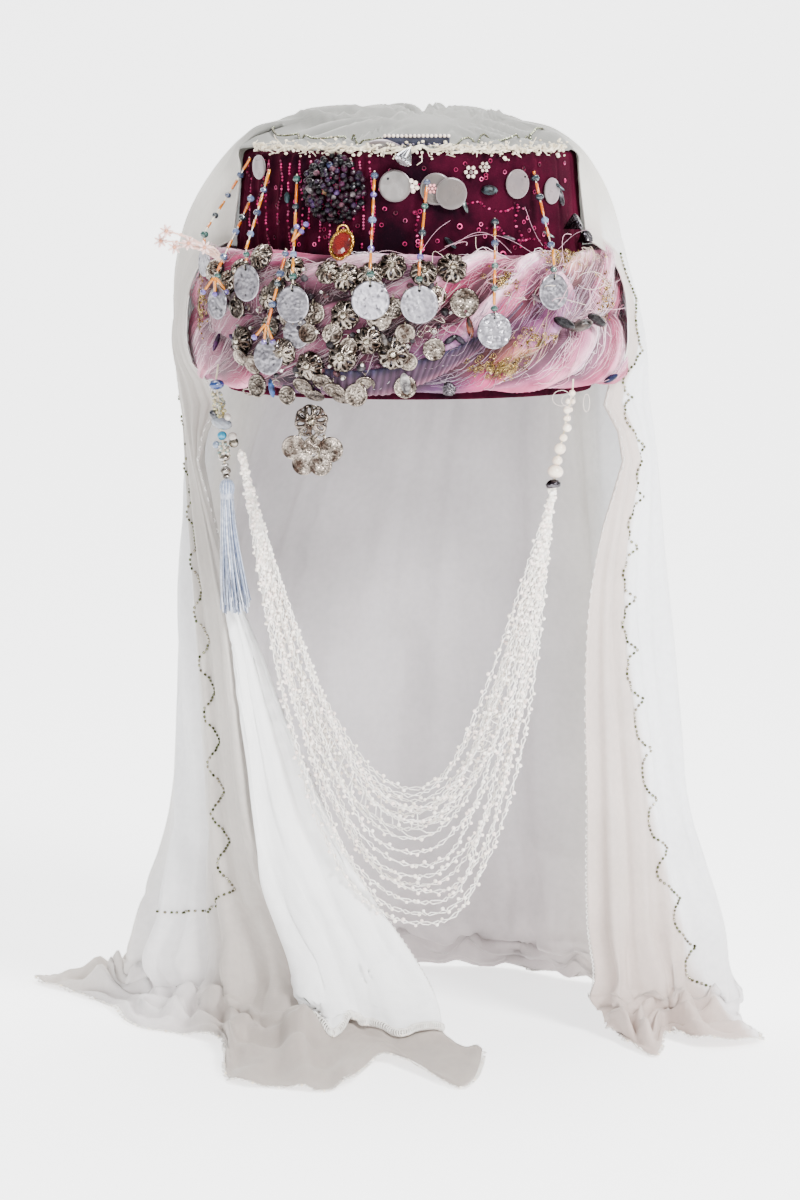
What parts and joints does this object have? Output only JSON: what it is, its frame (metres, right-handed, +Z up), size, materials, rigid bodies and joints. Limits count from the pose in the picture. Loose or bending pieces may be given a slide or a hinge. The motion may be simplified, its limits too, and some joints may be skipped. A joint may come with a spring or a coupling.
{
  "type": "bridal fez",
  "caption": "Velvet fez with a twisted roll, hanging discs, coins and beads, a seed-pearl chin swag, a tassel and a long muslin veil",
  "frame": {"origin": "centre of the fez's open rim, where it sits on the head", "axes": "+Z up, front of the hat towards -Y, +X to the right seen from the front"},
  "size_m": [0.3736, 0.3228, 0.4684],
  "materials": {
    "velvet": "deep burgundy velvet",
    "roll_silk": "rose, lilac and pale pink loose fibres, twisted",
    "muslin": "fine greyish ivory muslin, slightly sheer",
    "cream_thread": "knotted cream thread",
    "navy_cloth": "navy cloth",
    "dark_beads": "faceted plum-black beads",
    "orange_crystal": "cut orange crystal in a gilt rim",
    "strung_beads": "orange bugles with blue-grey and lilac beads",
    "hammered_silver": "hammered bright silver",
    "pearl_shell": "flat pearly discs",
    "antique_silver": "antique silver, dark in its hollows",
    "mixed_beads": "mixed blue, gold and clear beads",
    "tassel_thread": "silver-blue silky thread",
    "pearl": "warm white pearls",
    "seed_pearl": "crocheted seed pearls, pale pink and cream",
    "dark_metal": "dark grey metal",
    "bright_cone": "fluted silver"
  },
  "bodies": {
    "root": {"fez_crown": "velvet", "turban_roll": "roll_silk", "veil": "muslin", "veil_edging": "cream_thread", "navy_tab": "navy_cloth", "bead_rosette": "dark_beads", "crystal_pendant": "orange_crystal", "bead_strand_1": "strung_beads", "bead_strand_2": "strung_beads", "bead_strand_3": "strung_beads", "bead_strand_4": "strung_beads", "bead_strand_5": "strung_beads", "bead_strand_6": "strung_beads", "bead_strand_7": "strung_beads", "bead_strand_8": "strung_beads", "bead_strand_9": "strung_beads", "hanging_disc_1": "hammered_silver", "hanging_disc_2": "hammered_silver", "hanging_disc_3": "hammered_silver", "hanging_disc_4": "hammered_silver", "hanging_disc_5": "hammered_silver", "hanging_disc_6": "hammered_silver", "hanging_disc_7": "hammered_silver", "hanging_disc_8": "hammered_silver", "hanging_disc_9": "hammered_silver", "hanging_disc_10": "hammered_silver", "top_disc_1": "pearl_shell", "top_disc_2": "pearl_shell", "top_disc_3": "pearl_shell", "top_disc_4": "pearl_shell", "top_disc_5": "pearl_shell", "top_disc_6": "pearl_shell", "filigree_1": "antique_silver", "filigree_2": "antique_silver", "filigree_3": "antique_silver", "filigree_4": "antique_silver", "filigree_5": "antique_silver", "filigree_6": "antique_silver", "filigree_7": "antique_silver", "filigree_8": "antique_silver", "filigree_9": "antique_silver", "filigree_10": "antique_silver", "filigree_11": "antique_silver", "coin_1": "antique_silver", "coin_2": "antique_silver", "coin_3": "antique_silver", "coin_4": "antique_silver", "coin_5": "antique_silver", "coin_6": "antique_silver", "coin_pendant": "antique_silver", "left_drop": "mixed_beads", "tassel": "tassel_thread", "pearl_string": "pearl", "chin_swag": "seed_pearl", "side_horn_1": "dark_metal", "side_horn_2": "dark_metal", "rim_stud": "dark_metal", "top_cone": "bright_cone"}
  },
  "joints": []
}
